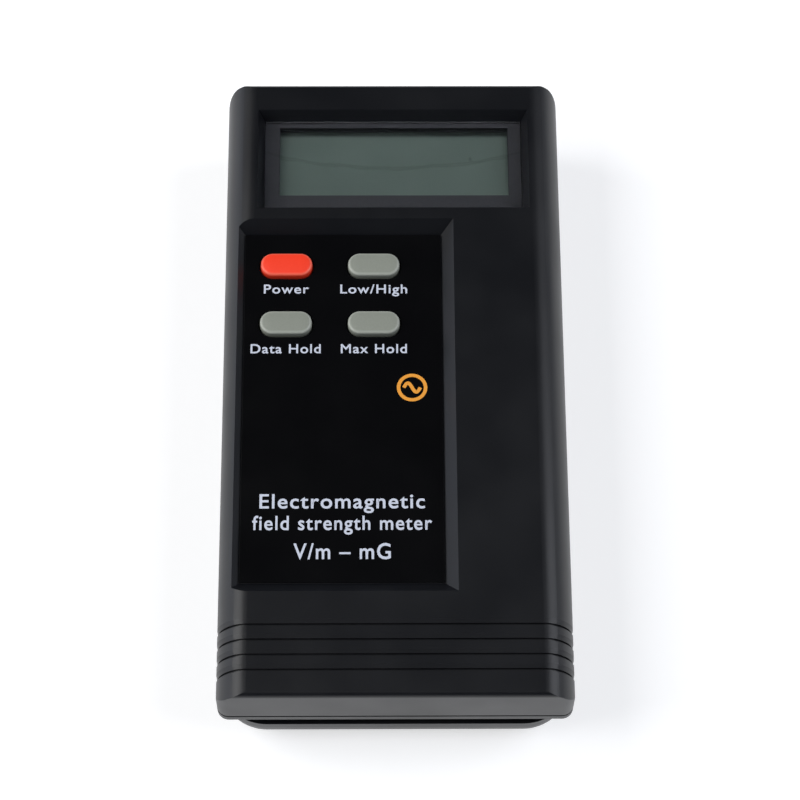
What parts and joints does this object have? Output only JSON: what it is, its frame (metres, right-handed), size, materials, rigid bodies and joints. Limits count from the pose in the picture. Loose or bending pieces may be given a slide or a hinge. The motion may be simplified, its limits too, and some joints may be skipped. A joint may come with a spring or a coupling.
{
  "type": "electromagnetic field meter",
  "caption": "Hand-held electromagnetic field meter: two-shell case with display window, pill-shaped keys, grip grooves and a sliding battery door.",
  "frame": {"origin": "middle of the flat back face, at the centre of the bounding box's base", "axes": "+X across the meter, +Y along it towards the display, +Z out of the front face"},
  "size_m": [0.0666, 0.13, 0.026],
  "materials": {
    "case_plastic": "black ABS, fine spark texture",
    "clear_acrylic": "clear acrylic, polished",
    "label_film": "black printed polycarbonate film, satin",
    "key_red": "red moulded key, satin",
    "key_grey": "warm grey moulded key, satin",
    "dark_frame": "dark grey moulded frame",
    "lcd_glass": "grey-green liquid crystal cell, satin polariser",
    "reflector_film": "silver film",
    "zebra_rubber": "layered elastomer",
    "circuit_board": "green solder mask on glass epoxy",
    "switch_housing": "black moulded",
    "plunger_plastic": "cream moulded",
    "spring_steel": "stamped spring steel",
    "chip_black": "black epoxy",
    "resistor_ceramic": "black glazed top",
    "capacitor_ceramic": "tan ceramic",
    "can_aluminium": "drawn can",
    "trimmer_blue": "blue moulded",
    "brass": "stamped brass",
    "ferrite": "sintered ferrite",
    "bobbin_plastic": "black nylon",
    "enamelled_copper": "enamelled copper wire",
    "battery_jacket": "plain printed metal jacket",
    "plated_steel": "zinc or nickel plated steel",
    "lead_red_pvc": "PVC insulation",
    "lead_black_pvc": "PVC insulation"
  },
  "bodies": {
    "root": {"adc_chip": "chip_black", "antenna_plate": "brass", "battery": "battery_jacket", "battery_terminals": "plated_steel", "board_screws": "plated_steel", "buzzer_case": "switch_housing", "buzzer_disc": "brass", "case_screws": "plated_steel", "chip_capacitors": "capacitor_ceramic", "chip_resistors": "resistor_ceramic", "coil_bobbin": "bobbin_plastic", "coil_core": "ferrite", "coil_winding": "enamelled_copper", "display_lens": "clear_acrylic", "electrolytic_caps": "can_aluminium", "front_shell": "case_plastic", "hold_dome": "spring_steel", "keypad_label": "label_film", "lcd_frame": "dark_frame", "lcd_panel": "lcd_glass", "lcd_reflector": "reflector_film", "lead_black": "lead_black_pvc", "lead_red": "lead_red_pvc", "main_pcb": "circuit_board", "max_dome": "spring_steel", "opamp_chips": "chip_black", "power_dome": "spring_steel", "range_dome": "spring_steel", "rear_shell": "case_plastic", "snap_connector": "switch_housing", "snap_contacts": "plated_steel", "switch_bodies": "switch_housing", "trimmer_body": "trimmer_blue", "zebra_strips": "zebra_rubber"},
    "power_key": {"power_keycap": "key_red", "power_plunger": "plunger_plastic"},
    "range_key": {"range_keycap": "key_grey", "range_plunger": "plunger_plastic"},
    "hold_key": {"hold_keycap": "key_grey", "hold_plunger": "plunger_plastic"},
    "max_key": {"max_keycap": "key_grey", "max_plunger": "plunger_plastic"},
    "door": {"battery_door": "case_plastic"},
    "trimmer": {"trimmer_rotor": "brass"}
  },
  "joints": [
    {"name": "power_press", "type": "slide", "parent": "root", "child": "power_key", "axis": [0, 0, 1], "range_m": [-0.001, 0], "stiffness_N_per_m": 1500, "springref_m": 0.0003, "deforming": ["power_dome"]},
    {"name": "range_press", "type": "slide", "parent": "root", "child": "range_key", "axis": [0, 0, 1], "range_m": [-0.001, 0], "stiffness_N_per_m": 1500, "springref_m": 0.0003, "deforming": ["range_dome"]},
    {"name": "hold_press", "type": "slide", "parent": "root", "child": "hold_key", "axis": [0, 0, 1], "range_m": [-0.001, 0], "stiffness_N_per_m": 1500, "springref_m": 0.0003, "deforming": ["hold_dome"]},
    {"name": "max_press", "type": "slide", "parent": "root", "child": "max_key", "axis": [0, 0, 1], "range_m": [-0.001, 0], "stiffness_N_per_m": 1500, "springref_m": 0.0003, "deforming": ["max_dome"]},
    {"name": "door_slide", "type": "slide", "parent": "root", "child": "door", "axis": [0, -1, 0], "range_m": [0, 0.055]},
    {"name": "trimmer_turn", "type": "hinge", "parent": "root", "child": "trimmer", "pos_m": [0.005, 0.026, 0.018], "axis": [0, 0, 1], "range_deg": [-120, 120]}
  ]
}
